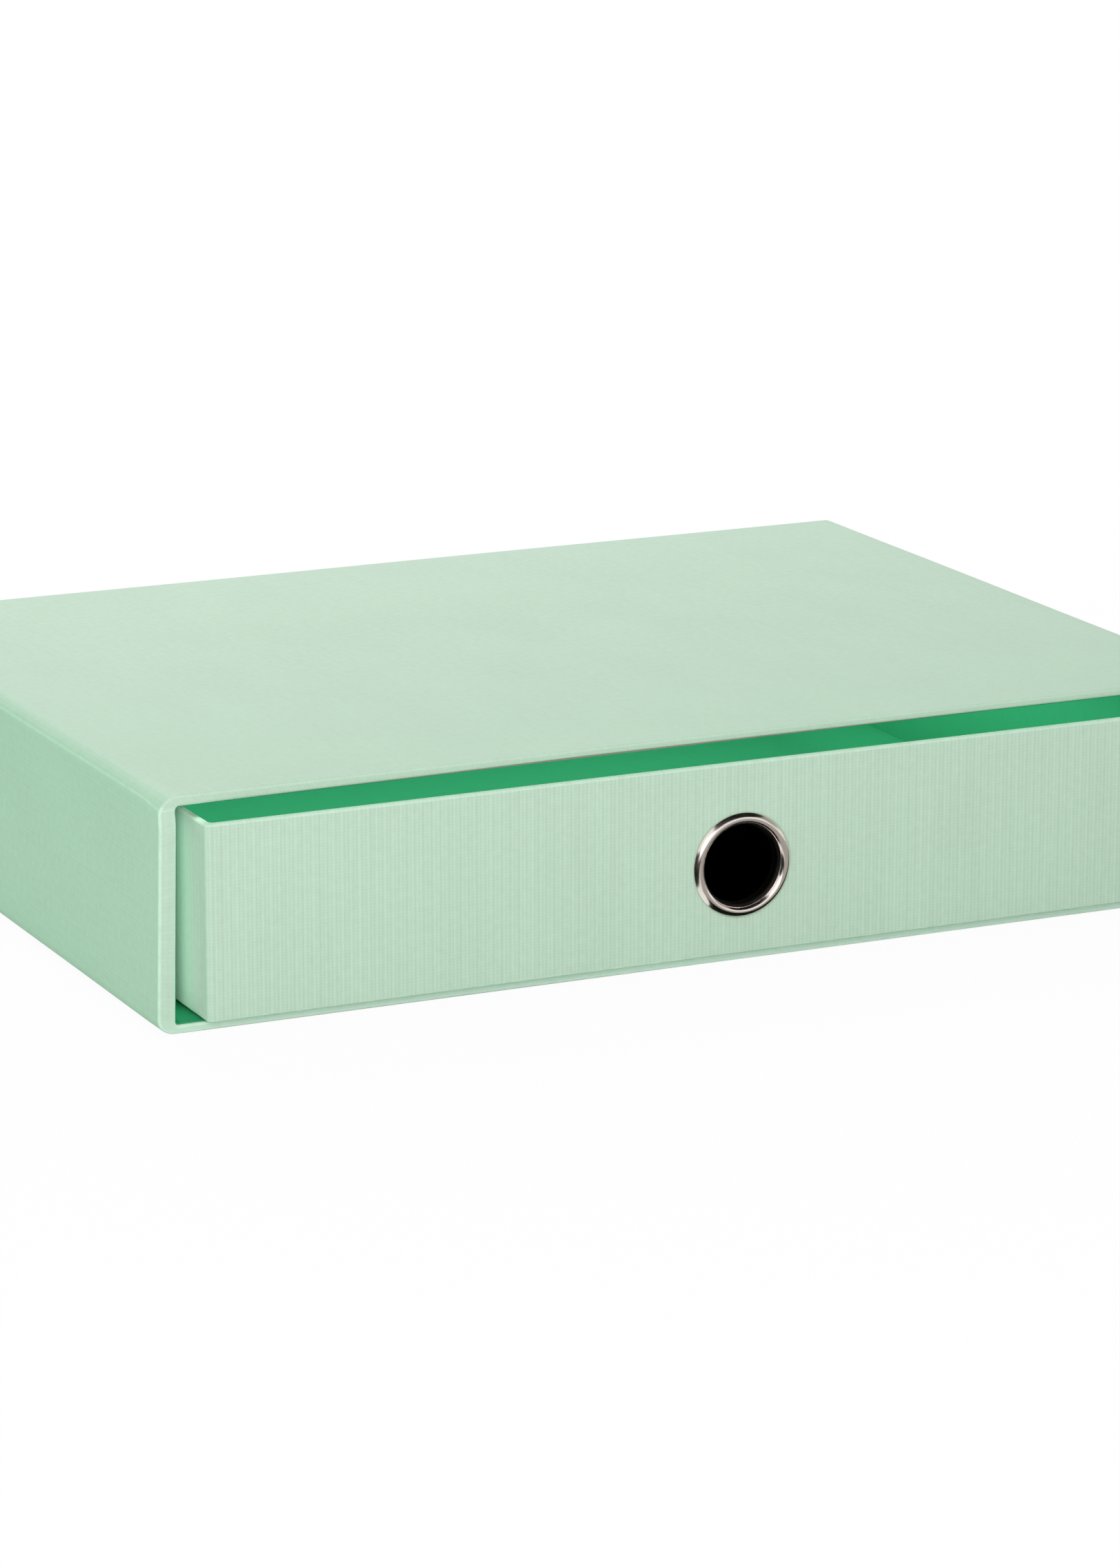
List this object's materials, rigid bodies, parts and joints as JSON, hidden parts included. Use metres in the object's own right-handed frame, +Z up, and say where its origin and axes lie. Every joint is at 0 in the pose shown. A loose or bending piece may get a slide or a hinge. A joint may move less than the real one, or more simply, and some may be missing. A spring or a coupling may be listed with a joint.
{
  "type": "file box with drawer",
  "caption": "Low paper-covered board sleeve, open in front, holding a sliding open-topped drawer with a round metal finger ring.",
  "frame": {"origin": "under the middle of the whole box as it stands with its drawer a little open, at the height of the surface it rests on", "axes": "+Z up, +X to the right seen from the front, the front faces -Y and the drawer opens along -Y"},
  "size_m": [0.3264, 0.2486, 0.065],
  "materials": {
    "linen_cover": "matt pale mint cover paper with a fine linen emboss",
    "green_lining": "matt strong green lining paper",
    "grey_board": "raw grey board, hidden under the papers",
    "bright_metal": "bright nickel plate"
  },
  "bodies": {
    "sleeve": {"sleeve_wrap_board": "grey_board", "sleeve_left_liner_board": "grey_board", "sleeve_right_liner_board": "grey_board", "sleeve_back_board": "grey_board", "sleeve_cover": "linen_cover", "sleeve_back_sheet": "linen_cover", "sleeve_underside_sheet": "linen_cover", "sleeve_bay_lining": "green_lining", "sleeve_back_lining": "green_lining"},
    "drawer": {"drawer_front_board": "grey_board", "drawer_back_board": "grey_board", "drawer_left_board": "grey_board", "drawer_right_board": "grey_board", "drawer_bottom_board": "grey_board", "drawer_cover": "linen_cover", "drawer_underside_sheet": "linen_cover", "drawer_wall_lining": "green_lining", "drawer_floor_lining": "green_lining", "finger_ring": "bright_metal", "finger_ring_washer": "bright_metal"}
  },
  "joints": [
    {"name": "drawer_slide", "type": "slide", "parent": "sleeve", "child": "drawer", "axis": [0, -1, 0], "range_m": [-0.0044, 0.2]}
  ]
}
